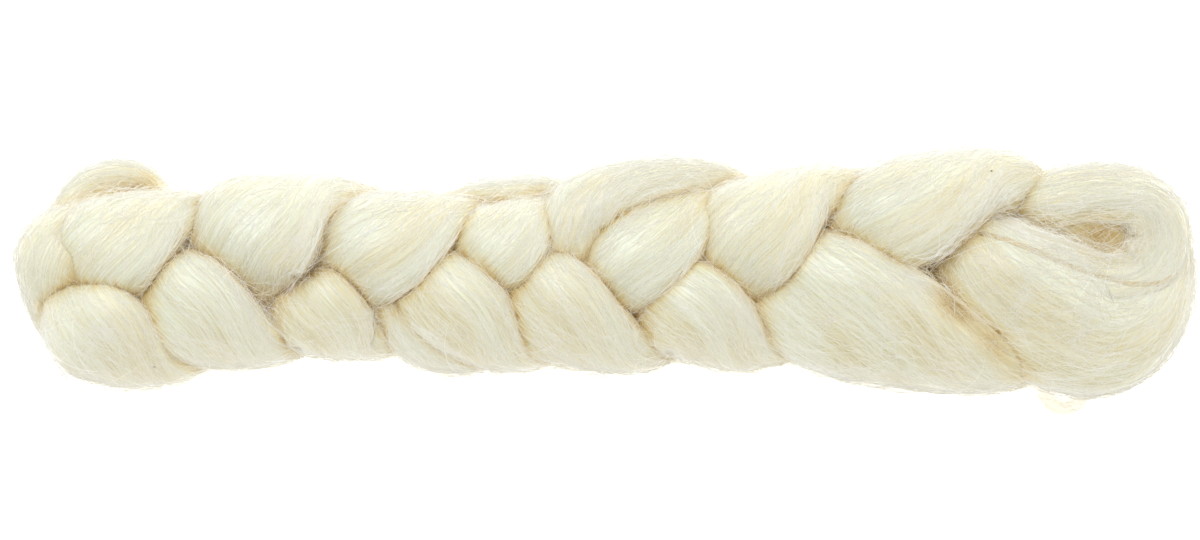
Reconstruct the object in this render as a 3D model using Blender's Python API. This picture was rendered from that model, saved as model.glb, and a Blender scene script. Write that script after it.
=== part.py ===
"""A plaited braid of cream wool roving, lying flat.

One long length of combed wool is doubled into three legs and plaited from left
to right. Where a leg crosses over the others it shows as a puffed lobe, in an
upper row (+Y) or a lower row (-Y). At the left end the roving folds round on
itself, and at the right end it turns back in an open loop. The two cut ends are
tucked underneath. All of it is one continuous piece, so it is one solid.

The plait is laid out in millimetres, with X along the braid, and is set down at
the end with its underside on Z = 0 and its middle over the origin.
"""

from collections import namedtuple
from math import cos, pi, radians, sin

import bmesh
import bpy
import numpy as np
from mathutils import Matrix, Vector

NAME = "roving_braid"
MM = 0.001                # metres in a millimetre

# How finely the legs are built
RING_SPACING = 7.0        # mm between the rings of a leg
RING_SIDES = 18           # corners of a ring
ROUNDNESS = 2.3           # 2 is an ellipse, more is a squarer, puffier band
TIP_SIZE = 0.3            # size of the first and last ring, against the leg there
EVENNESS = 0.75           # 1 spaces a curve's time by distance, 0 by station
MERGE_DISTANCE = 0.02     # mm
SHARP_ANGLE = 40          # degrees, edges sharper than this are shaded as creases

# How a leg lies in each lobe
LEAN = 18                 # degrees that the top of a lobe leans outwards
SIDE_HEIGHT = -1          # mm, middle of a leg where it turns at the side
UNDER_DEPTH = 0.95        # depth of the pass below, against the height of the lobe
UNDER_WIDTH = 0.82        # width of the pass below, against the width of the lobe
REST_HEIGHT = -21.5       # mm, where the surface below presses the underside flat
FLOOR_SIZE = (600, 200, 40)   # mm, the block that stands for that surface

WOOL_COLOUR = (0.86, 0.81, 0.68, 1)   # cream, linear
WOOL_ROUGHNESS = 0.8

Lobe = namedtuple("Lobe", "row root crown edge width edge_width thick height root_width")
Station = namedtuple("Station", "x y z turn width thick")

UPPER = 1
LOWER = -1

# A lobe comes up at its root, passes over at its crown and turns down at its edge.
LOBES = {
    "upper_start": Lobe(UPPER, (-208, -6), (-206, 7), (-186, 21), 36, 28, 22, 6, 26),
    "lower_0": Lobe(LOWER, (-203, -7), (-191, -20), (-172, -30), 42, 36, 26, 12, 27),
    "upper_0": Lobe(UPPER, (-198, -5), (-186, 11), (-164, 21), 44, 34, 25, 11, 38),
    "lower_1": Lobe(LOWER, (-173, 0), (-158, -13), (-134, -23), 47, 36, 25, 12, 40),
    "upper_1": Lobe(UPPER, (-142, 0), (-131, 17), (-111, 27), 50, 34, 26, 12, 44),
    "lower_2": Lobe(LOWER, (-118, -4), (-107, -14), (-93, -21), 38, 29, 23, 10, 34),
    "upper_2": Lobe(UPPER, (-103, -1), (-84, 12), (-60, 20), 44, 33, 25, 11, 40),
    "lower_3": Lobe(LOWER, (-75, 3), (-56, -12), (-34, -24), 41, 32, 26, 11, 38),
    "upper_3": Lobe(UPPER, (-51, 0), (-40, 11), (-23, 20), 38, 29, 23, 10, 34),
    "lower_4": Lobe(LOWER, (-35, 3), (-18, -12), (8, -25), 44, 34, 25, 11, 40),
    "upper_4": Lobe(UPPER, (-5, -4), (14, 10), (41, 22), 42, 32, 27, 11, 40),
    "lower_5": Lobe(LOWER, (17, -4), (33, -13), (56, -24), 42, 32, 25, 11, 38),
    "upper_5": Lobe(UPPER, (40, -3), (56, 16), (79, 30), 47, 34, 26, 12, 42),
    "lower_6": Lobe(LOWER, (62, 3), (94, -13), (151, -30), 55, 36, 28, 12, 49),
    "upper_6": Lobe(UPPER, (94, 12), (114, 24), (145, 36), 44, 36, 27, 13, 40),
}

# The lobes that each leg makes, from left to right
LEG_A = ("lower_0", "upper_1", "lower_3", "upper_4", "lower_6")
LEG_B = ("upper_start", "lower_1", "upper_2", "lower_4", "upper_5")
LEG_C = ("upper_0", "lower_2", "upper_3", "lower_5", "upper_6")

# Where each leg starts and ends, out of the plait's rhythm
A_START = (Station(-211, 1, -8, 180, 22, 16),)
A_END = (
    Station(164, -22, -9, 40, 32, 20),
    Station(169, -8, -11, 22, 30, 20),
    Station(166, 7, -10, 10, 26, 18),
)
B_START = (
    Station(-178, -28, -13, 10, 20, 16),
    Station(-190, -29, -13, 10, 22, 16),
    Station(-201, -22, -10, 5, 22, 18),
)
B_END = (
    Station(107, 20, -11, 158, 40, 26),
    Station(130, 12, SIDE_HEIGHT, 180, 40, 26),
    Station(151, -5, 10, 162, 50, 26),
    Station(172, -16, 8, 175, 55, 28),
    Station(191, -20, 3, 180, 50, 28),
    Station(206, -12, -1, 180, 36, 27),
    Station(214, 4, -6, 180, 24, 22),
    Station(212, 18, -10, 180, 20, 18),
)
C_START = (Station(-201, -20, -11, 10, 22, 16),)
C_END = (
    Station(162, 26, -10, 158, 34, 22),
    Station(185, 19, -7, 160, 32, 24),
    Station(198, -2, -12, 180, 32, 18),
    Station(185, -33, -16, 180, 24, 11),
    Station(177, -44, -18, 180, 12, 5),
)

# The loop at the right end, from the middle of the braid round and back under it
END_LOOP = (
    Station(140, 19, -4, 190, 14, 12),
    Station(156, 11, 8, 190, 20, 16),
    Station(174, 2, 9, 191, 24, 20),
    Station(191, -3, 5, 188, 24, 21),
    Station(205, 2, 1, 183, 25, 23),
    Station(211, 16, 0, 180, 26, 26),
    Station(205, 28, 1, 170, 24, 26),
    Station(190, 32, 2, 150, 22, 25),
    Station(174, 30, 1, 148, 22, 23),
    Station(157, 24, -7, 158, 24, 18),
)

# The cut end at the left, folded up behind the first lobes
TUCKED_END = (
    Station(-170, 21, -13, 150, 18, 14),
    Station(-177, 32, -12, 150, 23, 16),
    Station(-188, 33, -10, 150, 26, 18),
    Station(-197, 25, -9, 160, 27, 20),
    Station(-201, 12, -8, 170, 28, 20),
    Station(-203, -2, -8, 170, 26, 18),
)

# Two lobes are split lengthwise by a fold, and this is the outer band of each.
UPPER_4_FOLD = (
    Station(-19, -10, -5, 0, 22, 16),
    Station(-15, 3, 5, 0, 28, 20),
    Station(-8, 24, 9, 25, 30, 20),
    Station(8, 34, 8, 60, 24, 18),
    Station(32, 37, 2, 80, 18, 16),
    Station(50, 33, -6, 110, 18, 14),
    Station(58, 24, -12, 130, 16, 12),
)
LOWER_3_FOLD = (
    Station(-82, 5, -5, 180, 16, 14),
    Station(-79, -10, 5, 165, 22, 18),
    Station(-70, -22, 6, 150, 22, 18),
    Station(-56, -29, 1, 110, 18, 16),
    Station(-42, -29, -7, 70, 14, 12),
)

# Past the upper row, wool from the pass below shows between two lobes.
BEHIND_UPPER_3 = (
    Station(-66, 12, -10, 162, 18, 14),
    Station(-54, 24, -8, 162, 20, 18),
    Station(-38, 28, -7, 162, 20, 18),
    Station(-20, 28, -8, 162, 20, 16),
    Station(-4, 22, -10, 162, 18, 12),
)


def lobe_stations(lobe):
    """The three stations of a lobe, and the turn that its leg has as it passes below."""
    turns = (0, LEAN, 90, 180 - LEAN)
    if lobe.row == LOWER:
        turns = (180, 180 - LEAN, 90, LEAN)
    root = Station(*lobe.root, SIDE_HEIGHT, turns[0], lobe.root_width, lobe.thick)
    crown = Station(*lobe.crown, lobe.height, turns[1], lobe.width, lobe.thick)
    edge = Station(*lobe.edge, SIDE_HEIGHT, turns[2], lobe.edge_width, lobe.thick)
    return [root, crown, edge], turns[3]


def leg_stations(lobe_names, start, end):
    """A whole leg: over in each of its lobes, and under the other two between them."""
    stations = list(start)
    for name, next_name in zip(lobe_names, lobe_names[1:] + (None,)):
        lobe = LOBES[name]
        over, turn_below = lobe_stations(lobe)
        stations += over
        if next_name is None:
            break
        halfway = [(a + b) / 2 for a, b in zip(lobe.edge, LOBES[next_name].root)]
        depth = -lobe.height * UNDER_DEPTH
        stations.append(Station(*halfway, depth, turn_below, lobe.width * UNDER_WIDTH, lobe.thick))
    return stations + list(end)


def slopes(values, times, level_turns):
    """The slope at each station. With level_turns, nothing overshoots a station."""
    steps = np.diff(times)[:, None]
    rates = np.diff(values, axis=0) / steps
    found = np.vstack([rates[:1], rates[:-1], rates[-1:]])
    for i in range(1, len(values) - 1):
        before, after = rates[i - 1], rates[i]
        if level_turns:
            total = np.where(before + after == 0, 1, before + after)
            found[i] = np.where(before * after > 0, 2 * before * after / total, 0)
        else:
            found[i] = (before * steps[i] + after * steps[i - 1]) / (steps[i] + steps[i - 1])
    return found


def smooth_values(values, times, at, level_turns):
    """Cubic curves through the stations' values, read at the given times."""
    slope = slopes(values, times, level_turns)
    i = np.clip(np.searchsorted(times, at, side="right") - 1, 0, len(times) - 2)
    length = (times[i + 1] - times[i])[:, None]
    s = (at - times[i])[:, None] / length
    start = (2 * s**3 - 3 * s**2 + 1) * values[i] + (s**3 - 2 * s**2 + s) * length * slope[i]
    finish = (3 * s**2 - 2 * s**3) * values[i + 1] + (s**3 - s**2) * length * slope[i + 1]
    return start + finish


def rings(stations):
    """A matrix for each ring of a leg: it places and sizes a circle of radius 1."""
    table = np.array(stations, dtype=float)
    runs = np.linalg.norm(np.diff(table[:, :3], axis=0), axis=1)
    times = np.concatenate([[0], np.cumsum(runs**EVENNESS)])
    at = np.linspace(0, times[-1], round(runs.sum() / RING_SPACING) + 1)
    plan = smooth_values(table[:, :2], times, at, level_turns=False)
    rest = smooth_values(table[:, 2:], times, at, level_turns=True)
    points = [Vector((x, y, z)) for (x, y), z in zip(plan, rest[:, 0])]
    matrices = []
    for i, (point, (_, turn, width, thick)) in enumerate(zip(points, rest)):
        to_end = min((point - points[0]).length, (point - points[-1]).length)
        blunt = 1 - min(to_end / (thick / 2), 1)
        swell = max(1 - blunt**2, TIP_SIZE**2) ** 0.5
        along = (points[min(i + 1, len(points) - 1)] - points[max(i - 1, 0)]).normalized()
        face = Vector((0, sin(radians(turn)), cos(radians(turn))))
        face = (face - along * face.dot(along)).normalized()
        across = along.cross(face)
        columns = (across * swell * width / 2, face * swell * thick / 2, along)
        matrix = Matrix.Translation(point) @ Matrix(columns).transposed().to_4x4()
        matrices.append(matrix)
    return matrices


def add_rounded_ring(bm):
    """One flat ring of radius 1, a little squarer than a circle."""
    made = bmesh.ops.create_circle(bm, cap_ends=False, segments=RING_SIDES, radius=1)
    for i, vert in enumerate(made["verts"]):
        angle = 2 * pi * i / RING_SIDES
        c, s = cos(angle), sin(angle)
        size = (abs(c) ** ROUNDNESS + abs(s) ** ROUNDNESS) ** (-1 / ROUNDNESS)
        vert.co = Vector((c * size, s * size, 0))
    return made["verts"]


def make_leg(name, stations, collection):
    """Sweep a ring through the stations by extruding it from one to the next."""
    matrices = rings(stations)
    bm = bmesh.new()
    verts = add_rounded_ring(bm)
    edges = bm.edges[:]
    bmesh.ops.transform(bm, matrix=matrices[0], verts=verts)
    bmesh.ops.contextual_create(bm, geom=edges)
    for last, matrix in zip(matrices, matrices[1:]):
        grown = bmesh.ops.extrude_edge_only(bm, edges=edges)["geom"]
        verts = [item for item in grown if isinstance(item, bmesh.types.BMVert)]
        edges = [item for item in grown if isinstance(item, bmesh.types.BMEdge)]
        bmesh.ops.transform(bm, matrix=matrix @ last.inverted(), verts=verts)
    bmesh.ops.contextual_create(bm, geom=edges)
    bmesh.ops.recalc_face_normals(bm, faces=bm.faces)
    bmesh.ops.triangulate(bm, faces=bm.faces)
    mesh = bpy.data.meshes.new(name)
    bm.to_mesh(mesh)
    bm.free()
    leg = bpy.data.objects.new(name, mesh)
    collection.objects.link(leg)
    return leg


def make_floor(collection):
    """The block whose top is the surface that the braid lies on."""
    bm = bmesh.new()
    bmesh.ops.create_cube(bm, size=1)
    bmesh.ops.scale(bm, vec=FLOOR_SIZE, verts=bm.verts)
    bmesh.ops.translate(bm, vec=(0, 0, REST_HEIGHT - FLOOR_SIZE[2] / 2), verts=bm.verts)
    mesh = bpy.data.meshes.new("floor_block")
    bm.to_mesh(mesh)
    bm.free()
    floor = bpy.data.objects.new("floor_block", mesh)
    collection.objects.link(floor)
    return floor


def add_boolean(target, tool, operation):
    """Join or cut with a tool that is drawn as a wire and kept out of renders."""
    boolean = target.modifiers.new(tool.name, "BOOLEAN")
    boolean.operation = operation
    boolean.solver = "EXACT"
    boolean.use_self = operation == "UNION"
    boolean.object = tool
    tool.hide_render = True
    tool.display_type = "WIRE"


def wool_material():
    material = bpy.data.materials.new("cream_wool")
    material.use_nodes = True
    shader = material.node_tree.nodes["Principled BSDF"]
    shader.inputs["Base Color"].default_value = WOOL_COLOUR
    shader.inputs["Roughness"].default_value = WOOL_ROUGHNESS
    shader.inputs["Metallic"].default_value = 0
    return material


def set_down(mesh):
    """Merge stray points, centre the braid over the origin, and turn it to metres."""
    bm = bmesh.new()
    bm.from_mesh(mesh)
    bmesh.ops.remove_doubles(bm, verts=bm.verts, dist=MERGE_DISTANCE)
    bmesh.ops.dissolve_degenerate(bm, edges=bm.edges, dist=MERGE_DISTANCE)
    stray = [edge for edge in bm.edges if not edge.link_faces]
    bmesh.ops.delete(bm, geom=stray, context="EDGES")
    bmesh.ops.triangulate(bm, faces=bm.faces)
    xs = [vert.co.x for vert in bm.verts]
    ys = [vert.co.y for vert in bm.verts]
    middle = Vector(((min(xs) + max(xs)) / 2, (min(ys) + max(ys)) / 2, REST_HEIGHT))
    bmesh.ops.translate(bm, vec=-middle, verts=bm.verts)
    bmesh.ops.scale(bm, vec=(MM, MM, MM), verts=bm.verts)
    bm.to_mesh(mesh)
    bm.free()


def build():
    for old in list(bpy.data.objects):
        bpy.data.objects.remove(old, do_unlink=True)
    braid_parts = bpy.data.collections.new("braid_of_wool_roving")
    tools = bpy.data.collections.new("tools")
    bpy.context.scene.collection.children.link(braid_parts)
    bpy.context.scene.collection.children.link(tools)

    legs = {
        "leg_a": leg_stations(LEG_A, A_START, A_END),
        "leg_b": leg_stations(LEG_B, B_START, B_END),
        "leg_c": leg_stations(LEG_C, C_START, C_END),
        "end_loop": END_LOOP,
        "tucked_end": TUCKED_END,
        "upper_4_fold": UPPER_4_FOLD,
        "lower_3_fold": LOWER_3_FOLD,
        "behind_upper_3": BEHIND_UPPER_3,
    }
    made = [make_leg(name, stations, tools) for name, stations in legs.items()]
    first, others = made[0], made[1:]
    for leg in others:
        add_boolean(first, leg, "UNION")
    add_boolean(first, make_floor(tools), "DIFFERENCE")

    bpy.context.view_layer.update()
    evaluated = first.evaluated_get(bpy.context.evaluated_depsgraph_get())
    mesh = bpy.data.meshes.new_from_object(evaluated)
    mesh.name = NAME
    set_down(mesh)
    mesh.materials.clear()
    mesh.materials.append(wool_material())
    mesh.shade_smooth()
    mesh.set_sharp_from_angle(angle=radians(SHARP_ANGLE))
    braid_parts.objects.link(bpy.data.objects.new(NAME, mesh))
    for tool in made:
        bpy.data.objects.remove(tool, do_unlink=True)
    bpy.data.objects.remove(bpy.data.objects["floor_block"], do_unlink=True)


build()
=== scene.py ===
# %% [markdown]
# # A braid of wool roving
#
# Hand spinners buy combed wool as roving: a thick, soft, untwisted length of fibres that all lie the same
# way, plaited so that it keeps its shape. This lesson dresses a imported model of such a braid, which gives
# the size and place of everything. So it is loaded first.

from collections import namedtuple
from math import pi, radians

import bmesh
import bpy
import numpy as np
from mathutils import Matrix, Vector
from mathutils.bvhtree import BVHTree
from mathutils.kdtree import KDTree


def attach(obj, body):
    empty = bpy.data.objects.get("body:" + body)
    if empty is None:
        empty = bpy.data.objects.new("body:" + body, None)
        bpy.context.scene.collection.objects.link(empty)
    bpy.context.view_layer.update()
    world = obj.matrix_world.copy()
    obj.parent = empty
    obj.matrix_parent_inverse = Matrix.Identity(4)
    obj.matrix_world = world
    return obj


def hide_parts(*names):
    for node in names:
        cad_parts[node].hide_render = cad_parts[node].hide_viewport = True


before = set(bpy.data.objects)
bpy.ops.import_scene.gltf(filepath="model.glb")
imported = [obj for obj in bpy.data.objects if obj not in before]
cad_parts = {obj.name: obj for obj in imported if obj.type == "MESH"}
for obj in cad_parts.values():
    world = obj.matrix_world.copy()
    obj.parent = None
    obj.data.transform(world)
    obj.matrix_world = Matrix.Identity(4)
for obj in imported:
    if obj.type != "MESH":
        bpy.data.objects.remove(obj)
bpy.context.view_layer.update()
print("packed nodes:", len(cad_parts))

# %% [markdown]
# ## The camera
#
# The braid lies flat and is seen from straight above. A long lens, high up, keeps the two ends from leaning
# away. An orthographic camera would do that too, but a real lens also suits the braid seen from other sides.

# %% The camera
MM = 0.001  # one millimetre, in metres
PICTURE_WIDTH = 456 * MM
PICTURE_MIDDLE = (-2.7 * MM, 0.6 * MM)
CAMERA_HEIGHT = 2.4
BRAID_MIDDLE = 22 * MM  # height of the lobes' widest outline


def add_object(name, data):
    """Put a mesh, a lamp or a camera in the scene."""
    thing = bpy.data.objects.new(name, data)
    bpy.context.scene.collection.objects.link(thing)
    return thing


camera = add_object("camera", bpy.data.cameras.new("camera"))
camera.location = (*PICTURE_MIDDLE, CAMERA_HEIGHT)
camera.data.lens = camera.data.sensor_width * (CAMERA_HEIGHT - BRAID_MIDDLE) / PICTURE_WIDTH
camera.data.clip_end = 50
bpy.context.scene.camera = camera
print("lens, mm:", round(camera.data.lens))


# %% [markdown]
# ## Colours and nodes
#
# Colours are picked as they show on a screen, and Blender mixes them as linear light, so one function turns
# one into the other. Another starts a material, and a third adds a node with its settings and links.

# %% Colours and nodes
def linear(hex_colour):
    """A screen colour such as "F1EBD8" as linear light, with an alpha of 1."""
    parts = [int(hex_colour[i : i + 2], 16) / 255 for i in (0, 2, 4)]
    return (*[p / 12.92 if p <= 0.04045 else ((p + 0.055) / 1.055) ** 2.4 for p in parts], 1.0)


def new_material(name, settings):
    """A material and its shader. A setting is named for the shader's socket."""
    material = bpy.data.materials.new(name)
    material.use_nodes = True
    shader = material.node_tree.nodes["Principled BSDF"]
    for socket, value in settings.items():
        shader.inputs[socket].default_value = value
    return material, shader


def add_node(material, kind, settings=None, **links):
    """Add a node. A setting or link is named for its socket; a link's value is the socket that feeds it."""
    node = material.node_tree.nodes.new(kind)
    for name, value in (settings or {}).items():
        if name in node.inputs:
            node.inputs[name].default_value = value
        else:
            setattr(node, name, value)
    for name, source in links.items():
        material.node_tree.links.new(source, node.inputs[name.replace("_", " ")])
    return node


# %% [markdown]
# ## The floor and the lights
#
# The braid lies on a light table of matt white acrylic, so the ground is pure white and shows no shadow:
# the floor glows. A large soft box, up and to the left, lights the side of each lobe that faces it with
# cool daylight. A weak one on the other side keeps the far ends from going dull. The rest of the light is a
# white room, a little warmer.

# %% The floor and the lights
FLOOR_HALF_WIDTH = 6
FLOOR_HEIGHT = -0.4 * MM  # just clear of the wool
TABLE_GLOW = 1.15
ROOM_LIGHT = 0.59


def finished_mesh(name, bm):
    mesh = bpy.data.meshes.new(name)
    bm.to_mesh(mesh)
    bm.free()
    return mesh


def make_floor():
    bm = bmesh.new()
    bmesh.ops.create_grid(bm, x_segments=1, y_segments=1, size=FLOOR_HALF_WIDTH)
    floor = add_object("floor", finished_mesh("floor", bm))
    floor.location.z = FLOOR_HEIGHT
    material, _ = new_material("white_acrylic_light_table", {
        "Base Color": linear("F4F4F4"),
        "Roughness": 0.9,
        "Emission Color": linear("FFFFFF"),
        "Emission Strength": TABLE_GLOW,
    })
    floor.data.materials.append(material)


def add_soft_box(name, place, size, power, colour):
    """A square lamp that faces the middle of the braid."""
    lamp = bpy.data.lights.new(name, "AREA")
    lamp.color = linear(colour)[:3]
    lamp.size = size
    lamp.energy = power
    soft_box = add_object(name, lamp)
    soft_box.location = place
    soft_box.rotation_mode = "QUATERNION"
    soft_box.rotation_quaternion = (-Vector(place)).to_track_quat("-Z", "Y")


make_floor()
add_soft_box("key_light", (-0.72, 0.8, 1.3), size=1.0, power=17.5, colour="E3EEFF")
add_soft_box("far_light", (1.05, 0.5, 1.0), size=1.0, power=7, colour="FFFFFF")

world = bpy.data.worlds.new("white_room")
world.use_nodes = True
background = world.node_tree.nodes["Background"]
background.inputs["Color"].default_value = linear("FFFBF3")
background.inputs["Strength"].default_value = ROOM_LIGHT
bpy.context.scene.world = world
bpy.context.scene.view_settings.view_transform = "Standard"
print("floor glow:", TABLE_GLOW, "room light:", ROOM_LIGHT)

# %% [markdown]
# ## The plait
#
# A plait of three legs repeats one move: an outer leg crosses over the middle one. From above, each
# crossing is a puffed lobe, in an upper row or a lower row. A table says where each lobe comes up (root),
# where it is highest (crown) and where it turns down at the side (edge). Between two of its lobes a leg
# passes below the other two. The ends of the braid don't follow the rhythm, so they are short lists of
# stations along the leg.
#
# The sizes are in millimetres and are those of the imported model, so that the wool lies where the model
# says.

# %% The tables of the plait
Lobe = namedtuple("Lobe", "root crown edge width edge_width thick height root_width")

LEAN = 18  # degrees that the top of a lobe leans outwards
SIDE_HEIGHT = -1  # height of a leg's middle where it turns at the side
UNDER_DEPTH = 0.95  # depth of the pass below, against the lobe's height
UNDER_WIDTH = 0.82  # and its width, against the lobe's
PLAIT_ORIGIN = (1.23, 2.06, -21.5)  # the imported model's origin, in these tables

# The lobes that each leg makes, from left to right
LEG_A = {
    "lower_0": Lobe((-203, -7), (-191, -20), (-172, -30), 42, 36, 26, 12, 27),
    "upper_1": Lobe((-142, 0), (-131, 17), (-111, 27), 50, 34, 26, 12, 44),
    "lower_3": Lobe((-75, 3), (-56, -12), (-34, -24), 41, 32, 26, 11, 38),
    "upper_4": Lobe((-5, -4), (14, 10), (41, 22), 42, 32, 27, 11, 40),
    "lower_6": Lobe((62, 3), (94, -13), (151, -30), 55, 36, 28, 12, 49),
}
LEG_B = {
    "upper_start": Lobe((-208, -6), (-206, 7), (-186, 21), 36, 28, 22, 6, 26),
    "lower_1": Lobe((-173, 0), (-158, -13), (-134, -23), 47, 36, 25, 12, 40),
    "upper_2": Lobe((-103, -1), (-84, 12), (-60, 20), 44, 33, 25, 11, 40),
    "lower_4": Lobe((-35, 3), (-18, -12), (8, -25), 44, 34, 25, 11, 40),
    "upper_5": Lobe((40, -3), (56, 16), (79, 30), 47, 34, 26, 12, 42),
}
LEG_C = {
    "upper_0": Lobe((-198, -5), (-186, 11), (-164, 21), 44, 34, 25, 11, 38),
    "lower_2": Lobe((-118, -4), (-107, -14), (-93, -21), 38, 29, 23, 10, 34),
    "upper_3": Lobe((-51, 0), (-40, 11), (-23, 20), 38, 29, 23, 10, 34),
    "lower_5": Lobe((17, -4), (33, -13), (56, -24), 42, 32, 25, 11, 38),
    "upper_6": Lobe((94, 12), (114, 24), (145, 36), 44, 36, 27, 13, 40),
}

# %% [markdown]
# The first lobes start from wool that is folded round the left end, and the last ones end in the loop at
# the right. A station has six values: x, y and z of the band's middle, its turn from lying flat, its width
# and its thickness.

# %% The ends of the legs
A_START = ((-211, 1, -8, 180, 22, 16),)
A_END = (
    (164, -22, -9, 40, 32, 20),
    (169, -8, -11, 22, 30, 20),
    (166, 7, -10, 10, 26, 18),
)
B_START = (
    (-178, -28, -13, 10, 20, 16),
    (-190, -29, -13, 10, 22, 16),
    (-201, -22, -10, 5, 22, 18),
)
B_END = (
    (107, 20, -11, 158, 40, 26),
    (130, 12, SIDE_HEIGHT, 180, 40, 26),
    (151, -5, 10, 162, 50, 26),
    (172, -16, 8, 175, 55, 28),
    (191, -20, 3, 180, 50, 28),
    (206, -12, -1, 180, 36, 27),
    (214, 4, -6, 180, 24, 22),
    (212, 18, -10, 180, 20, 18),
)
C_START = ((-201, -20, -11, 10, 22, 16),)
C_END = (
    (162, 26, -10, 158, 34, 22),
    (185, 19, -7, 160, 32, 24),
    (198, -2, -12, 180, 32, 18),
    (185, -33, -16, 180, 24, 11),
    (177, -44, -18, 180, 12, 5),
)

# The loop at the right end, from the middle of the braid round and back under it
END_LOOP = (
    (140, 19, -4, 190, 14, 12),
    (156, 11, 8, 190, 20, 16),
    (174, 2, 9, 191, 24, 20),
    (191, -3, 5, 188, 24, 21),
    (205, 2, 1, 183, 25, 23),
    (211, 16, 0, 180, 26, 26),
    (205, 28, 1, 170, 24, 26),
    (190, 32, 2, 150, 22, 25),
    (174, 30, 1, 148, 22, 23),
    (157, 24, -7, 158, 24, 18),
)

# The cut end at the left, folded up behind the first lobes
TUCKED_END = (
    (-170, 21, -13, 150, 18, 14),
    (-177, 32, -12, 150, 23, 16),
    (-188, 33, -10, 150, 26, 18),
    (-197, 25, -9, 160, 27, 20),
    (-201, 12, -8, 170, 28, 20),
    (-203, -2, -8, 170, 26, 18),
)

# Two lobes are split lengthwise by a fold, and this is the outer band of each.
UPPER_4_FOLD = (
    (-19, -10, -5, 0, 22, 16),
    (-15, 3, 5, 0, 28, 20),
    (-8, 24, 9, 25, 30, 20),
    (8, 34, 8, 60, 24, 18),
    (32, 37, 2, 80, 18, 16),
    (50, 33, -6, 110, 18, 14),
    (58, 24, -12, 130, 16, 12),
)
LOWER_3_FOLD = (
    (-82, 5, -5, 180, 16, 14),
    (-79, -10, 5, 165, 22, 18),
    (-70, -22, 6, 150, 22, 18),
    (-56, -29, 1, 110, 18, 16),
    (-42, -29, -7, 70, 14, 12),
)

# Past the upper row, wool from the pass below shows between two lobes.
BEHIND_UPPER_3 = (
    (-66, 12, -10, 162, 18, 14),
    (-54, 24, -8, 162, 20, 18),
    (-38, 28, -7, 162, 20, 18),
    (-20, 28, -8, 162, 20, 16),
    (-4, 22, -10, 162, 18, 12),
)


# %% [markdown]
# Each leg is now a list of stations: three for each lobe, one for each pass below, and those of its ends.

# %% The stations of a leg
def leg_stations(lobes, start, end):
    stations = list(start)
    following = [*lobes.values()][1:] + [None]
    for (name, lobe), next_lobe in zip(lobes.items(), following):
        is_upper = name.startswith("upper")
        turns = (0, LEAN, 90, 180 - LEAN) if is_upper else (180, 180 - LEAN, 90, LEAN)
        stations.append((*lobe.root, SIDE_HEIGHT, turns[0], lobe.root_width, lobe.thick))
        stations.append((*lobe.crown, lobe.height, turns[1], lobe.width, lobe.thick))
        stations.append((*lobe.edge, SIDE_HEIGHT, turns[2], lobe.edge_width, lobe.thick))
        if next_lobe:
            halfway = [(a + b) / 2 for a, b in zip(lobe.edge, next_lobe.root)]
            depth = -lobe.height * UNDER_DEPTH
            stations.append((*halfway, depth, turns[3], lobe.width * UNDER_WIDTH, lobe.thick))
    return stations + list(end)


LEGS = {
    "leg_a": leg_stations(LEG_A, A_START, A_END),
    "leg_b": leg_stations(LEG_B, B_START, B_END),
    "leg_c": leg_stations(LEG_C, C_START, C_END),
    "end_loop": END_LOOP,
    "tucked_end": TUCKED_END,
    "upper_4_fold": UPPER_4_FOLD,
    "lower_3_fold": LOWER_3_FOLD,
    "behind_upper_3": BEHIND_UPPER_3,
}
print("stations:", {name: len(stations) for name, stations in LEGS.items()})


# %% [markdown]
# ## The course of a leg
#
# Smooth curves run through the stations. At each point the band of wool has a middle, a direction across
# its width and one through its thickness. A point on its skin is then given by two numbers: how far along
# the leg it is, in millimetres, and its angle round the band. The skin, the combed fibres on it and the
# pattern of its colour are all laid out with them. A line of constant angle is the path of a fibre.

# %% Smooth curves
def slopes(values, times, level_turns):
    """The slope at each station. With level_turns, nothing overshoots a station."""
    steps = np.diff(times)[:, None]
    rates = np.diff(values, axis=0) / steps
    before, after = rates[:-1], rates[1:]
    if level_turns:
        total = np.where(before + after == 0, 1, before + after)
        inner = np.where(before * after > 0, 2 * before * after / total, 0)
    else:
        inner = (before * steps[1:] + after * steps[:-1]) / (steps[1:] + steps[:-1])
    return np.vstack([rates[:1], inner, rates[-1:]])


def smooth_values(values, times, at, level_turns):
    """Cubic curves through the stations' values, read at the given times."""
    slope = slopes(values, times, level_turns)
    i = np.clip(np.searchsorted(times, at, side="right") - 1, 0, len(times) - 2)
    length = (times[i + 1] - times[i])[:, None]
    s = (at - times[i])[:, None] / length
    start = (2 * s**3 - 3 * s**2 + 1) * values[i] + (s**3 - 2 * s**2 + s) * length * slope[i]
    finish = (3 * s**2 - 2 * s**3) * values[i + 1] + (s**3 - s**2) * length * slope[i + 1]
    return start + finish


# %% The course of a leg
EVENNESS = 0.75  # 1 spaces a curve's time by distance, 0 by station
COURSE_STEP = 0.5  # mm between the points at which a course is kept
TIP_SIZE = 0.3  # of a leg's blunt ends, against its full size


def unit(vectors):
    return vectors / np.maximum(np.linalg.norm(vectors, axis=-1, keepdims=True), 1e-9)


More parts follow.
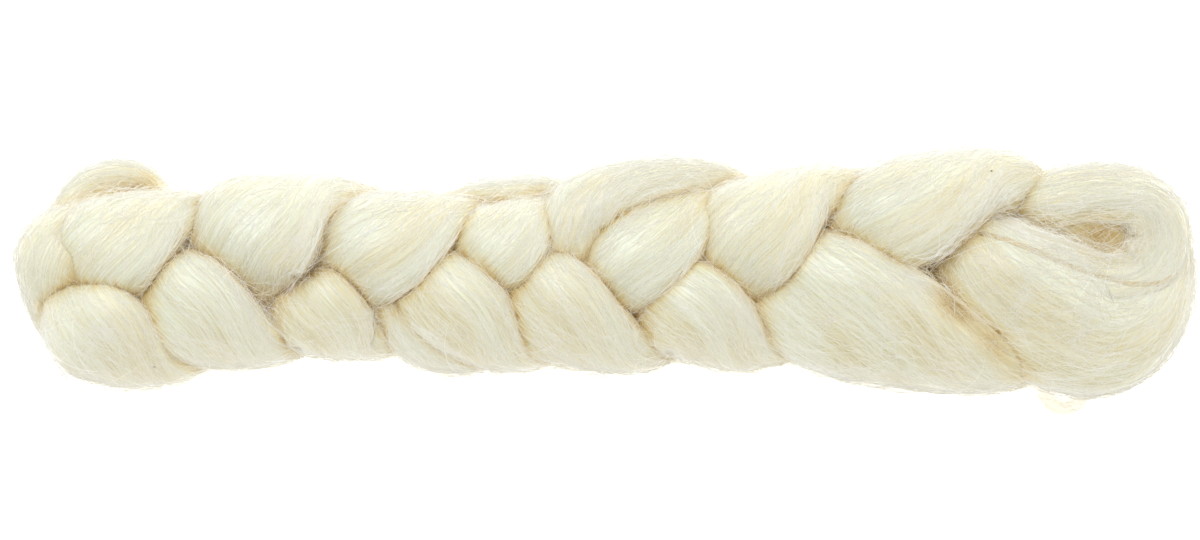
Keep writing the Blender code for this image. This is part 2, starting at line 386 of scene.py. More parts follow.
class Course:
    """The middle line of a leg, its two directions and its two sizes, by distance in mm."""

    def __init__(self, stations, seed):
        table = np.array(stations, dtype=float)
        runs = np.linalg.norm(np.diff(table[:, :3], axis=0), axis=1)
        times = np.concatenate([[0], np.cumsum(runs**EVENNESS)])
        at = np.linspace(0, times[-1], round(runs.sum() / COURSE_STEP) + 1)
        plan = smooth_values(table[:, :2], times, at, level_turns=False)
        rest = smooth_values(table[:, 2:], times, at, level_turns=True)
        self.middle = np.column_stack([plan, rest[:, 0]]) - np.array(PLAIT_ORIGIN)
        steps = np.linalg.norm(np.diff(self.middle, axis=0), axis=1)
        self.distance = np.concatenate([[0], np.cumsum(steps)])
        self.length = self.distance[-1]
        self.width, self.thick = rest[:, 2], rest[:, 3]
        along = unit(np.gradient(self.middle, axis=0))
        turn = np.radians(rest[:, 1])
        face = np.column_stack([np.zeros_like(turn), np.sin(turn), np.cos(turn)])
        self.face = unit(face - along * np.sum(along * face, axis=1, keepdims=True))
        self.along = along
        self.across = np.cross(along, self.face)
        bend = np.gradient(along, axis=0) / np.gradient(self.distance)[:, None]
        self.bend = np.sum(bend * self.across, axis=1)
        to_end = np.minimum(self.distance, self.length - self.distance)
        blunt = 1 - np.minimum(to_end / (self.thick / 2), 1)
        self.swell = np.maximum(1 - blunt**2, TIP_SIZE**2) ** 0.5
        self.seed = seed

    def read(self, values, distance):
        if values.ndim == 1:
            return np.interp(distance, self.distance, values)
        return np.stack([np.interp(distance, self.distance, v) for v in values.T], axis=-1)


courses = {name: Course(stations, seed) for seed, (name, stations) in enumerate(LEGS.items())}
print("lengths, mm:", {name: round(course.length) for name, course in courses.items()})

# %% [markdown]
# ## The skin of a leg
#
# Roving is not a smooth sausage: its fibres lie in loose bundles, so shallow ridges run along it, drift
# sideways and fade. They are waves round the band whose phase wanders slowly along it. A whole number of
# waves in a turn leaves no seam.

# %% The skin of a leg
ROUNDNESS = 2.3  # 2 is an ellipse, more is a squarer, puffier band
SKIN_DEPTH = 1.3  # mm that the dense wool lies below the outermost fibres
BUNDLES = ((3, 0.35), (5, 0.30), (8, 0.22), (13, 0.16), (21, 0.10))  # waves in one turn, height in mm
DRIFT_LENGTH = 45  # mm of leg over which a ridge wanders
DRIFT = 1.6  # radians that it wanders
ROOM_AT_A_TURN = 0.85  # how far towards the middle of a tight turn the wool is pushed


def bundle_height(course, distance, angle):
    """The height in mm of the ridges at a place on the skin."""
    chance = np.random.default_rng(100 + course.seed)
    height = np.zeros_like(distance)
    for waves, size in BUNDLES:
        start, sway, pace, fade = chance.uniform(0, 2 * pi, 4)
        drift = DRIFT * np.sin(distance / DRIFT_LENGTH * (0.7 + 0.1 * pace) + sway)
        strength = 0.6 + 0.4 * np.sin(distance / (0.7 * DRIFT_LENGTH) + fade)
        height += size * strength * np.sin(waves * angle + start + drift)
    return height


def skin_point(course, distance, angle):
    """Places on the skin of a leg, in mm, and the outward direction there."""
    c, s = np.cos(angle), np.sin(angle)
    size = (np.abs(c) ** ROUNDNESS + np.abs(s) ** ROUNDNESS) ** (-1 / ROUNDNESS)
    swell = course.read(course.swell, distance)
    half_width = course.read(course.width, distance) / 2 * swell
    half_thick = course.read(course.thick, distance) / 2 * swell
    across = course.read(course.across, distance)
    face = course.read(course.face, distance)
    outward = unit(
        across * (np.sign(c) * np.abs(c * size) ** (ROUNDNESS - 1) / half_width)[..., None]
        + face * (np.sign(s) * np.abs(s * size) ** (ROUNDNESS - 1) / half_thick)[..., None]
    )
    sideways = half_width * c * size
    crowding = np.maximum(sideways * course.read(course.bend, distance), 0) / ROOM_AT_A_TURN
    sideways = sideways / (1 + crowding**4) ** 0.25
    point = course.read(course.middle, distance)
    point = point + across * sideways[..., None] + face * (half_thick * s * size)[..., None]
    height = bundle_height(course, distance, angle) * swell - SKIN_DEPTH
    return point + outward * height[..., None], outward


# %% [markdown]
# The skin starts as a flat grid, which is rolled up: one side of the grid runs along the leg, the other
# round it. Its seam is merged, its two small ends are filled, and the table presses it flat from below. The
# grid's UV map is kept, and it says where the fibres run. A grid is used rather than a curve with a bevel,
# because a curve can't change its section from a flat band to a puffed one and back.
#
# Each point also keeps its place among the fibres, as a vector: the distance along the leg, and a point on
# a circle for the angle. As many fibres pass where the leg is narrow as where it is wide, so a pattern that
# is drawn on this vector fans out with the wool. Combed fibres aren't quite parallel, so there are two such
# vectors. The circle of one is twisted a little to the left along the leg, and the other's to the right.

# %% Roll the legs
RING_SPACING = 2.2  # mm between the rings of a leg
RING_SIDES = 36
BAND_RADIUS = 15  # mm, half of a usual leg's width
LAYS = {"left_lay": 0.009, "right_lay": -0.007}  # twist in radians for each mm of leg
SEED_SHIFT = 900  # mm between the places of two legs in a pattern, so that no two look the same
SAME_PLACE = 1e-3  # mm: points that are nearer than this are merged


def add_piece(name, mesh):
    """Show a mesh as a piece of the braid."""
    mesh.shade_smooth()
    piece = add_object(name, mesh)
    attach(piece, "root")
    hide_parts("roving_braid")
    return piece


def rolled_leg(name, course):
    bm = bmesh.new()
    bm.loops.layers.uv.new("fibre_uv")
    layers = {lay: bm.verts.layers.float_vector.new(lay) for lay in LAYS}
    rings = round(course.length / RING_SPACING)
    bmesh.ops.create_grid(bm, x_segments=rings, y_segments=RING_SIDES, size=0.5, calc_uvs=True)
    flat = np.array([vert.co for vert in bm.verts])
    distance = (flat[:, 0] + 0.5) * course.length
    angle = (flat[:, 1] + 0.5) * 2 * pi
    points, _ = skin_point(course, distance, angle)
    points[:, 2] = np.maximum(points[:, 2], 0)  # the wool's weight presses it flat on the table
    for vert, point in zip(bm.verts, points):
        vert.co = point * MM
    for lay, twist in LAYS.items():
        twisted = angle + twist * distance
        circle = BAND_RADIUS * np.column_stack([np.cos(twisted), np.sin(twisted)])
        for vert, d, (a, b) in zip(bm.verts, distance + SEED_SHIFT * course.seed, circle):
            vert[layers[lay]] = (d, a, b)
    bmesh.ops.remove_doubles(bm, verts=bm.verts, dist=SAME_PLACE * MM)
    open_edges = [edge for edge in bm.edges if edge.is_boundary]
    bmesh.ops.holes_fill(bm, edges=open_edges)
    bmesh.ops.recalc_face_normals(bm, faces=bm.faces)
    return add_piece(name, finished_mesh(name, bm))


def keep_values(mesh, name, values):
    """Give each point of a mesh a number, which its material can read."""
    layer = mesh.attributes.new(name, "FLOAT", "POINT")
    layer.data.foreach_set("value", values)


def triangle_count(piece):
    return sum(len(face.vertices) - 2 for face in piece.data.polygons)


legs = {name: rolled_leg(name, course) for name, course in courses.items()}
print("triangles:", {name: triangle_count(leg) for name, leg in legs.items()})

# %% [markdown]
# ## Where the legs meet
#
# In a crease, light passes through wool on both sides and comes out warm, and from the deepest corners
# little of it comes out. So the wool there gets painted shade, warmer and darker, and each point of the skin
# needs to know how near the next leg is. A search tree of each leg finds the nearest point of its surface,
# and whether the place asked about is inside it.

# %% Find the creases
FAR = 30.0  # mm, as far as a neighbour is looked for
NEAR_BOX = 12  # mm round a leg's box: points past it are far from that leg
DEEPEST = 15.0  # mm, half of the thickest leg: nothing is deeper than this inside one

skins = {name: np.array([vert.co for vert in leg.data.vertices]) / MM for name, leg in legs.items()}
faces_of = {name: [tuple(face.vertices) for face in leg.data.polygons] for name, leg in legs.items()}
trees = {name: BVHTree.FromPolygons(skins[name].tolist(), faces_of[name]) for name in legs}


def other_legs(name, points):
    """For each other leg, its distance in mm from the points, below 0 inside it, and its height over them."""
    others = [other for other in trees if other != name]
    apart = np.full((len(others), len(points)), FAR)
    rise = np.zeros_like(apart)
    for row, other in enumerate(others):
        low, high = skins[other].min(axis=0), skins[other].max(axis=0)
        near = np.all((points > low - NEAR_BOX) & (points < high + NEAR_BOX), axis=1)
        for i in np.flatnonzero(near):
            place = Vector(points[i])
            found, normal, _, distance = trees[other].find_nearest(place, FAR)
            if found is not None:
                inside = distance < DEEPEST and (place - found).dot(normal) < 0
                apart[row, i] = -distance if inside else distance
                rise[row, i] = found.z - place.z
    return others, apart, rise


def free_space(name, points):
    """The distance in mm from each point to the nearest other leg, below 0 inside one."""
    return other_legs(name, points)[1].min(axis=0)


around = {name: other_legs(name, skins[name]) for name in legs}
frees = {name: apart.min(axis=0) for name, (_, apart, _) in around.items()}
print("buried share:", {name: round(float(np.mean(free < 0)), 2) for name, free in frees.items()})

# %% [markdown]
# The parts of the legs that aren't buried make the outer surface of the braid. Loose fibres lie on it,
# whichever leg it belongs to, so it gets a search tree of its own.

# %% The outer surface
MOST_BURIED = -0.6  # mm: a point no deeper than this in another leg still counts as outer

outer_points = np.concatenate(list(skins.values()))
normals = np.concatenate([[vert.normal for vert in leg.data.vertices] for leg in legs.values()])
is_outer = np.concatenate(list(frees.values())) > MOST_BURIED
first = dict(zip(legs, np.cumsum([0] + [len(points) for points in skins.values()])))
shifted = [tuple(first[name] + i for i in face) for name in legs for face in faces_of[name]]
outer_faces = [face for face in shifted if all(is_outer[i] for i in face)]
outer_tree = BVHTree.FromPolygons(outer_points.tolist(), outer_faces)
print("outer faces:", len(outer_faces))

# %% [markdown]
# How sheltered is a place from the light? Rays are sent out from each outer point, over half a sphere, and
# the share of them that soon meets wool again is its painted shade: 0 on a crown, near 1 deep in a crease. It
# later darkens and warms the wool's colour. The rays are turned by the golden angle from one to the next, as
# the seeds of a sunflower are, which spreads a few of them evenly.

# %% Rays of light
RAYS = 24
RAY_START = 0.6  # mm above the skin
PAINTED_SHADE_REACH = 14  # mm
BURIED = 0.6  # the painted shade of a point inside another leg
UNDERSIDE = -0.6  # skin that points down more than this is never seen, so it sends out no rays


def half_sphere(count):
    """Directions that are spread evenly over half a sphere, round the third axis."""
    ray = np.arange(count) + 0.5
    up = np.sqrt(1 - ray / count)
    flat = np.sqrt(1 - up**2)
    turn = ray * pi * (3 - 5**0.5)
    return np.column_stack([flat * np.cos(turn), flat * np.sin(turn), up])


sideways = unit(np.cross(normals, (0.0, 0.2, 1.0)))
basis = np.stack([sideways, np.cross(normals, sideways), normals], axis=1)
directions = half_sphere(RAYS) @ basis

# Painted shade: the share of rays that meet wool again, for each outer point.
shelter = np.where(is_outer, 0.0, BURIED)
for i in np.flatnonzero(is_outer & (normals[:, 2] > UNDERSIDE)):
    origin = Vector(outer_points[i] + normals[i] * RAY_START)
    hits = [outer_tree.ray_cast(origin, Vector(way), PAINTED_SHADE_REACH)[0] for way in directions[i]]
    shelter[i] = np.mean([hit is not None for hit in hits])
print("mean shelter by rays:", round(float(shelter[is_outer].mean()), 2))

# %% [markdown]
# A shallow crease gets painted shade too, by how near the next leg is. It is deeper at a corner, where a
# third leg is near. It reaches farther over a leg that goes under another, because its wool curves away
# there.
# Where two legs lie loosely side by side, as at the end loop, it hardly shows.

# %% Painted shade in the creases
CREASE_REACH = 1.9  # mm from the next leg over which a crease's painted shade fades
UNDER_REACH = 2.6  # how much farther it reaches over a leg that goes under another
CREASE_DEPTH = 0.6  # painted shade of a crease between two legs
CORNER_DEPTH = 1.0  # where a third leg is near as well
CORNER_REACH = 5.0  # mm
SOFT_DEPTHS = {("end_loop", "leg_b"): 0.1, ("end_loop", "leg_c"): 0.45}  # these lie side by side
SOFT_REACH = 4.0  # mm


def with_painted_creases(name, shelter):
    """The painted shade of a leg's points when the painted shade of the creases is counted."""
    others, apart, rise = around[name]
    apart = np.maximum(apart, 0)
    reach = CREASE_REACH * (1 + UNDER_REACH * np.clip(rise / np.maximum(apart, 1), 0, 1))
    pairs = [tuple(sorted((name, other))) for other in others]
    soft = np.array([SOFT_DEPTHS.get(pair, 1.0) for pair in pairs])[:, None]
    shelter = shelter * (1 - np.max((1 - soft) * np.exp(-apart / SOFT_REACH), axis=0))
    corner = np.exp(-np.sort(apart, axis=0)[1] / CORNER_REACH)
    most = CREASE_DEPTH + (CORNER_DEPTH - CREASE_DEPTH) * corner
    depth = np.minimum(0.3 + 0.9 * shelter + 0.3 * corner, most)
    crease = np.max(np.minimum(depth, soft) * np.exp(-apart / reach), axis=0)
    return 1 - (1 - shelter) * (1 - crease)


# %% [markdown]
# In a few places the wool is open to a depth from which little light comes back, and painted shade darkens it
# there: in the eye of the end loop, along the gap where the last two lobes part, and in a fold of the tucked
# end. Each of these hollows is an ellipse seen from above that works below a certain height. Its painted
# shade goes only on skin that faces up, so no dark spot shows from the side.
#
# The table does the opposite. It glows, so the wool just above it gets painted light: part of its painted
# shade is taken away.

# %% Painted shade in the hollows, and painted light from the table
PAINTED_TABLE_LIGHT = 0.6  # share of the painted shade that the table's painted light takes away there
TABLE_REACH = 8.0  # mm
HOLLOW_EDGE = 8  # mm of height over which a hollow comes in
Hollow = namedtuple("Hollow", "x y top length width turn depth")

HOLLOWS = (
    Hollow(187, 14, 43, 13, 9, 0, 0.74),  # the eye of the end loop
    Hollow(131, -13, 60, 13, 6, -45, 0.85),  # where the last two lobes part
    Hollow(145, -27, 60, 15, 6, -45, 0.6),  # farther along that gap
    Hollow(156, -39, 60, 10, 8, -40, 0.4),  # its lower end
    Hollow(-177, 34, 60, 6, 3, 50, 0.65),  # the fold in the tucked end
)


def painted_hollow_shade(points, normals):
    deepest = np.zeros(len(points))
    for hollow in HOLLOWS:
        x, y = points[:, 0] - hollow.x, points[:, 1] - hollow.y
        c, s = np.cos(radians(hollow.turn)), np.sin(radians(hollow.turn))
        out = ((x * c + y * s) / hollow.length) ** 2 + ((y * c - x * s) / hollow.width) ** 2
        low = np.clip((hollow.top - points[:, 2]) / HOLLOW_EDGE, 0, 1)
        deepest = np.maximum(deepest, hollow.depth * low * np.exp(-out))
    return deepest * np.clip(normals[:, 2] * 1.6, 0, 1)


# Each leg keeps its painted shade, with that of its creases and hollows and the table's painted light, as an
# attribute.
for name, leg in legs.items():
    own = slice(first[name], first[name] + len(skins[name]))
    value = with_painted_creases(name, shelter[own])
    value = np.maximum(value, painted_hollow_shade(skins[name], normals[own]))
    shelter[own] = value * (1 - PAINTED_TABLE_LIGHT * np.exp(-skins[name][:, 2] / TABLE_REACH))
    keep_values(leg.data, "shelter", shelter[own])
print("mean shelter:", round(float(shelter[is_outer].mean()), 2))

# %% [markdown]
# A fibre takes the painted shade of the nearest point of the surface, and less of it the higher it lies.

# %% The painted shade of a fibre
OPEN_AIR = 14  # mm above the wool, where no painted shade is left

outer_index = np.flatnonzero(is_outer)
near_points = KDTree(len(outer_index))
for i in outer_index:
    near_points.insert(outer_points[i], i)
near_points.balance()


def painted_shade_of(points):
    """The painted shade of the places near the surface."""
    found = [near_points.find(point) for point in points.reshape(-1, 3)]
    value = np.array([shelter[i] * max(0, 1 - distance / OPEN_AIR) for _, i, distance in found])
    return value.reshape(points.shape[:-1])


print("outer points:", len(outer_index))

# %% [markdown]
# ## The wool
#
# Wool is keratin, which is clear and slightly yellow. A mass of it is cream where light is scattered near
# the surface, and warmer where it has gone deeper. The colour of a place is multiplied by a painted shade:
# white where it is open to the light, then cream, tan and brown the more it is sheltered.
#
# Fine streaks run along the fibres. They come from noise that is stretched along the leg, in four sizes:
# broad patches, locks, strands and threads. Real fibres are 0.02 mm thick, which is too fine to show, so
# the finest are 0.2 mm.

# %% The colours of wool
# Painted shade, from white where a place is open to the light to brown deep in a crease.
PAINTED_SHADE_COLOURS = ((0.08, "FFFFFF"), (0.3, "FBF3E0"), (0.5, "F2E0B9"), (0.7, "D9BC8A"), (0.9, "B1966A"))
COLOUR_MIX_INPUTS = (0, 6, 7)  # a Mix node's sockets for colours: the share and the two colours
COLOUR_MIX_RESULT = 2
Streak = namedtuple("Streak", "lay width length detail colours bump")  # width, length and bump in mm

STREAKS = (
    Streak("left_lay", 1.0, 40, 2.0, ((0.3, "E9E7D5"), (0.7, "EBEBDA")), 0.015),  # locks
    Streak("right_lay", 0.33, 16, 2.0, ((0.3, "FAF8F3"), (0.65, "FFFFFF")), 0.025),  # strands
    Streak("left_lay", 0.22, 10, 1.0, ((0.32, "EBE6D8"), (0.6, "FFFFFE")), 0.06),  # threads
    Streak("left_lay", 9, 30, 1.0, ((0.38, "F9F3E0"), (0.62, "FCFEFA")), 0),  # patches
)


def tinted(material, value, stops, colour=None):
    """The colour that the stops give for a value, multiplied by the wool's colour so far."""
    ramp = add_node(material, "ShaderNodeValToRGB", Fac=value)
    elements = ramp.color_ramp.elements
    while len(elements) < len(stops):
        elements.new(0.5)
    for element, (position, stop) in zip(elements, stops):
        element.position = position
        element.color = linear(stop)
    tint = ramp.outputs["Color"]
    if colour is None:
        return tint
    mix = add_node(material, "ShaderNodeMix", {"data_type": "RGBA", "blend_type": "MULTIPLY"})
    share, first, second = (mix.inputs[i] for i in COLOUR_MIX_INPUTS)
    share.default_value = 1.0
    material.node_tree.links.new(tint, first)
    material.node_tree.links.new(colour, second)
    return mix.outputs[COLOUR_MIX_RESULT]


def streak_noise(material, streak):
    """Noise in stripes along the fibres."""
    place = add_node(material, "ShaderNodeAttribute", {"attribute_name": streak.lay}).outputs["Vector"]
    scale = (streak.width / streak.length, 1, 1)
    stretch = add_node(material, "ShaderNodeMapping", {"Scale": scale}, Vector=place).outputs["Vector"]
    settings = {"Scale": 0.6 / streak.width, "Detail": streak.detail, "Roughness": 0.6}
    return add_node(material, "ShaderNodeTexNoise", settings, Vector=stretch).outputs["Fac"]


# %% [markdown]
# Combed fibres lie side by side, so they shine as satin does: the highlight runs across them. That is an
# anisotropic surface whose tangent follows the fibre. Their open, fuzzy outside catches light from the
# side, which is sheen, and light goes a few millimetres into the wool and comes out again, red farthest,
# which is subsurface scattering.

# %% The skin's material
KERATIN_IOR = 1.55
BUMP_STRENGTH = 0.6


def combed_wool():
    material, shader = new_material("combed_wool", {
        "IOR": KERATIN_IOR,
        "Specular IOR Level": 0.7,
        "Roughness": 0.40,
        "Anisotropic": 0.8,
        "Sheen Weight": 1.0,
        "Sheen Roughness": 0.4,
        "Sheen Tint": linear("EEF3FF"),
        "Subsurface Weight": 0.5,
        "Subsurface Scale": 4 * MM,
        "Subsurface Radius": (1.0, 0.8, 0.5),
    })
    links = material.node_tree.links
    # The colour starts as the painted shade, and the streaks are multiplied into it.
    painted_shading = add_node(material, "ShaderNodeAttribute", {"attribute_name": "shelter"}).outputs["Fac"]
    colour = tinted(material, painted_shading, PAINTED_SHADE_COLOURS)
    bump = {}
    for streak in STREAKS:
        noise = streak_noise(material, streak)
        colour = tinted(material, noise, streak.colours, colour)
        if streak.bump:
            settings = {"Strength": BUMP_STRENGTH, "Distance": streak.bump * MM}
            node = add_node(material, "ShaderNodeBump", settings, Height=noise, **bump)
            bump["Normal"] = node.outputs["Normal"]
    links.new(colour, shader.inputs["Base Color"])
    links.new(bump["Normal"], shader.inputs["Normal"])
    tangent = add_node(material, "ShaderNodeTangent", {"direction_type": "UV_MAP", "uv_map": "fibre_uv"})
    links.new(tangent.outputs["Tangent"], shader.inputs["Tangent"])
    return material


wool = combed_wool()
for leg in legs.values():
    leg.data.materials.append(wool)
print("nodes in the wool:", len(wool.node_tree.nodes))

# %% [markdown]
# ## The fibres
#
# A skin alone looks like clay. What makes it wool are real fibres that lie on it, drift across each other a
# little and stand off its outline. Each one is a thin tube with three sides that tapers at both ends. Tens
# of thousands of curve objects would be slow, so all fibres of a kind are worked out at once as arrays and
# joined in a few meshes.

# %% A mesh of many fibres
CORNERS = (pi / 2, pi * 7 / 6, pi * 11 / 6)  # of a tube with three sides
TAPER = 5  # a fibre comes to its full thickness in a fifth of its length
TIP = 0.15  # thickness of its ends, against its middle


def fibre_mesh(name, paths, outward, radius):
    count, steps, _ = paths.shape
    along = unit(np.gradient(paths, axis=1))
    side = unit(np.cross(along, outward))
    up = np.cross(side, along)
    t = np.linspace(0, 1, steps)
    size = (radius[:, None] * np.clip(np.minimum(t, 1 - t) * TAPER, TIP, 1))[..., None]
    corners = [paths + size * (np.cos(a) * side + np.sin(a) * up) for a in CORNERS]
    points = np.stack(corners, axis=2).reshape(-1, 3) * MM
    first = (np.arange(count) * steps * 3)[:, None, None]
    ring = (np.arange(steps - 1) * 3)[None, :, None]
    a = first + ring + np.array([0, 1, 2])
    b = first + ring + np.array([1, 2, 0])
    sides = np.stack([a, a + 3, b + 3, b], axis=-1).reshape(-1, 4)
    start = first[:, 0, 0][:, None] + np.array([0, 1, 2])
    end = start[:, ::-1] + (steps - 1) * 3
    mesh = bpy.data.meshes.new(name)
    mesh.from_pydata(points.tolist(), [], sides.tolist() + start.tolist() + end.tolist())
    return mesh


# %% [markdown]
# Each fibre has a tone of its own, and gets painted shade in a crease, as the skin does. Past the sides of
# the braid the glowing table lies behind a fibre, and light would come through it: that wool is given a
# whiter tone and a painted glow, an emission of its own colour.
#
# A real fibre is clear and 0.02 mm thick, so it hardly shades the wool below it. These are drawn thicker
# than that, and would make the braid grey, so they cast no shadow.

# %% Show many fibres
FIBRES_A_PIECE = 6000
TABLE_GAP = 0.2  # mm: fibres lie at least this high over the table


# A fibre's glow is painted light: it emits its own colour, at the given strength.
def loose_wool(name, tones, glow):
    material, shader = new_material(name, {
        "IOR": KERATIN_IOR,
        "Specular IOR Level": 0.35,
        "Roughness": 0.4,
        "Emission Strength": glow,
    })
    tone = add_node(material, "ShaderNodeAttribute", {"attribute_name": "tone"}).outputs["Fac"]
    # A fibre's colour is its tone times its painted shade.
    painted_shading = add_node(material, "ShaderNodeAttribute", {"attribute_name": "shelter"}).outputs["Fac"]
    colour = tinted(material, tone, ((0.0, tones[0]), (1.0, tones[1])))
    colour = tinted(material, painted_shading, PAINTED_SHADE_COLOURS, colour)
    material.node_tree.links.new(colour, shader.inputs["Base Color"])
    material.node_tree.links.new(colour, shader.inputs["Emission Color"])
    return material


fibre_wool = loose_wool("loose_wool_fibre", ("E7E3D2", "F2F0E4"), glow=0.0)
# Fibres over the glowing table: a whiter tone, and a painted glow.
glowing_fibre_wool = loose_wool("wool_fibre_over_light", ("EDEAE0", "FFFFFF"), glow=0.2)


def add_fibres(name, chance, paths, outward, radius, more_painted_shade=0.0, material=fibre_wool):
    """Show thin tubes along many paths, which are in mm: (fibres, points, 3)."""
    count = len(paths)
    if isinstance(more_painted_shade, tuple):
        more_painted_shade = chance.uniform(*more_painted_shade, count)
    more_painted_shade = np.zeros(count) + more_painted_shade
    radius = chance.uniform(*radius, count)
    paths[..., 2] = np.maximum(paths[..., 2], TABLE_GAP)
    for first in range(0, count, FIBRES_A_PIECE):
        some = slice(first, first + FIBRES_A_PIECE)
        mesh = fibre_mesh(f"{name}_{first // FIBRES_A_PIECE + 1}", paths[some], outward[some], radius[some])
        tone = chance.uniform(0, 1, len(paths[some]))[:, None]
        # Each fibre's painted shade comes from the wool below it, varied a little and shifted for its kind.
        painted_shading = painted_shade_of(paths[some]) * chance.uniform(0.5, 1.3, len(tone))[:, None]
        painted_shading += more_painted_shade[some, None]
        keep_values(mesh, "tone", np.repeat(tone + 0 * painted_shading, 3))
        keep_values(mesh, "shelter", np.repeat(painted_shading, 3))
        mesh.materials.append(material)
        piece = add_piece(mesh.name, mesh)
        piece.visible_shadow = False
        piece.visible_diffuse = False
        print(piece.name, "fibres:", len(tone), "triangles:", triangle_count(piece))


# %% [markdown]
# ### Combed fibres
#
# Most fibres follow the leg. Their two ends lie in the wool and their middle is a little above it, now and
# then as much as 2 mm, so the outline of a lobe is soft.

# %% Combed fibres
COMBED_PER_MM = 22  # fibres started on each mm of leg
LOWEST = -0.45  # no fibres where the wool faces down more than this, because the braid lies on it
COMBED_LENGTH = (12, 27)  # mm
COMBED_DRIFT = 0.2  # spread in radians of a fibre's turn round the leg, from end to end
COMBED_SWAY = 0.08  # spread in radians of its waves
LOOSE_SHARE = 0.2  # of the fibres, that rise more than the others
LOOSE_RISE, CLOSE_RISE, MOST_RISE = 2.8, 1.0, 7.0  # mm, the first two on average


def combed_paths(name, course, chance, count, steps):
    """Fibres that follow a leg and show: their points, and which way is out of the wool."""
    t = np.linspace(0, 1, steps)
    span = chance.uniform(*COMBED_LENGTH, count)[:, None]
    start = chance.uniform(-0.02, 0.98, count)[:, None] * course.length
    distance = np.clip(start + span * t, 0.3, course.length - 0.3)
    drift = chance.normal(0, COMBED_DRIFT, count)[:, None]
    angle = chance.uniform(0, 2 * pi, count)[:, None] + drift * (t - 0.5)
    sway = chance.normal(0, COMBED_SWAY, count)[:, None]
    waves = chance.uniform(0.6, 1.6, count)[:, None]
    angle = angle + sway * np.sin(2 * pi * t * waves)
    is_loose = chance.uniform(0, 1, count) < LOOSE_SHARE
    rise = chance.exponential(np.where(is_loose, LOOSE_RISE, CLOSE_RISE))
    rise = np.minimum(rise, MOST_RISE)[:, None] * (0.3 + 0.7 * np.sin(pi * t))

    points, outward = skin_point(course, distance, angle)
    free = free_space(name, points.reshape(-1, 3)).reshape(count, -1)
    shown = (np.sum(free > -0.3, axis=1) >= 3) & (outward[:, steps // 2, 2] > LOWEST)
    points, outward, rise = points[shown], outward[shown], rise[shown]
    lift = 0.1 + rise * np.clip(1 - 1.5 * painted_shade_of(points), 0, 1)
    return points + outward * lift[..., None], outward


laid = []
for name, course in courses.items():
    chance = np.random.default_rng(10 + course.seed)
    laid.append(combed_paths(name, course, chance, round(course.length * COMBED_PER_MM), steps=5))
paths, outward = (np.concatenate(part) for part in zip(*laid))
chance = np.random.default_rng(7)
order = chance.permutation(len(paths))
add_fibres("combed_fibres", chance, paths[order], outward[order], radius=(0.06, 0.12))

# %% [markdown]
# ### Stray fibres
#
# Combing never catches all fibres. Some lie across the others and bridge the creases from one lobe to the
# next. Each of these starts somewhere on the outer surface and is walked over it: a step forward, then
# towards its height above the nearest wool. It doesn't follow the surface into a crease all the way,
# because a fibre is springy.

# %% Where loose fibres start
def surface_starts(chance, count, least_painted_shade=0.0, steepest=1.0):
    """Random places on the outer surface, the direction of the leg there, and the way out."""
    found = []
    whole = sum(course.length for course in courses.values())
    for name, course in courses.items():
        number = round(count * course.length / whole)
        distance = chance.uniform(0.5, course.length - 0.5, number)
        angle = chance.uniform(0, 2 * pi, number)
        points, out = skin_point(course, distance, angle)
        shown = (free_space(name, points) > 0) & (out[:, 2] > LOWEST) & (out[:, 2] < steepest)
        if least_painted_shade:
            shown[shown] = painted_shade_of(points[shown]) > least_painted_shade
        found.append((points[shown], course.read(course.along, distance[shown]), out[shown]))
    return [np.concatenate(part) for part in zip(*found)]


def above_surface(points):
    """The nearest places on the outer surface, the way out there, and the height above it."""
    found = [outer_tree.find_nearest(Vector(point))[:2] for point in points]
    places, outward = np.array(found).swapaxes(0, 1)
    return places, outward, np.sum((points - places) * outward, axis=1)


def turned(along, outward, turn):
    """Directions on the surface at an angle to the leg's."""
    return unit(along * np.cos(turn) + np.cross(outward, along) * np.sin(turn))


# %% Stray fibres
CURL = 0.16  # spread in radians of a fibre's turn at each step
FIRST_HEIGHT = 0.3  # mm above the skin, where a fibre starts


def stray_paths(chance, starts, along, outward, lengths, spread, height, hug, steps):
    """Fibres walked over the outer surface."""
    count = len(starts)
    turn = chance.normal(0, spread, count)[:, None]
    way = chance.choice([-1, 1], count)[:, None]
    direction = way * turned(along, outward, turn)
    step = chance.uniform(*lengths, count)[:, None] / (steps - 1)
    curl = chance.normal(0, CURL, count)[:, None]
    lift = np.minimum(chance.exponential(height, count), 4 * height) + 0.2
    point = starts + outward * FIRST_HEIGHT
    points, ways_out = [point], [outward]
    for i in range(steps - 1):
        moved = point + direction * step
        place, out, above = above_surface(moved)
        wanted = lift * np.sin(pi * min((i + 1.5) / steps, 0.85))
        kept = wanted + np.maximum(above - wanted, 0) * (1 - hug)
        new = place + out * kept[:, None] + (moved - place - out * above[:, None]) * 0.5
        direction = unit(new - point)
        direction = unit(direction + curl * np.cross(out, direction))
        point = new
        points.append(point)
        ways_out.append(out)
    paths, ways_out = np.stack(points, axis=1), np.stack(ways_out, axis=1)
    for _ in range(2):
        paths[:, 1:-1] = 0.5 * paths[:, 1:-1] + 0.25 * (paths[:, :-2] + paths[:, 2:])
    return paths, ways_out


def add_strays(name, chance, starts, radius, look, **walk):
    add_fibres(name, chance, *stray_paths(chance, *starts, **walk), radius, **look)


chance = np.random.default_rng(21)
starts = surface_starts(chance, 11000)
add_strays("stray_fibres", chance, starts, (0.05, 0.11), {},
           lengths=(8, 24), spread=0.7, height=0.8, hug=0.6, steps=6)

# %% [markdown]
# Most of the loose fibres are caught in the creases. They lie every way there, like a thin net over the
# bottom, which is dark with real and painted shade.

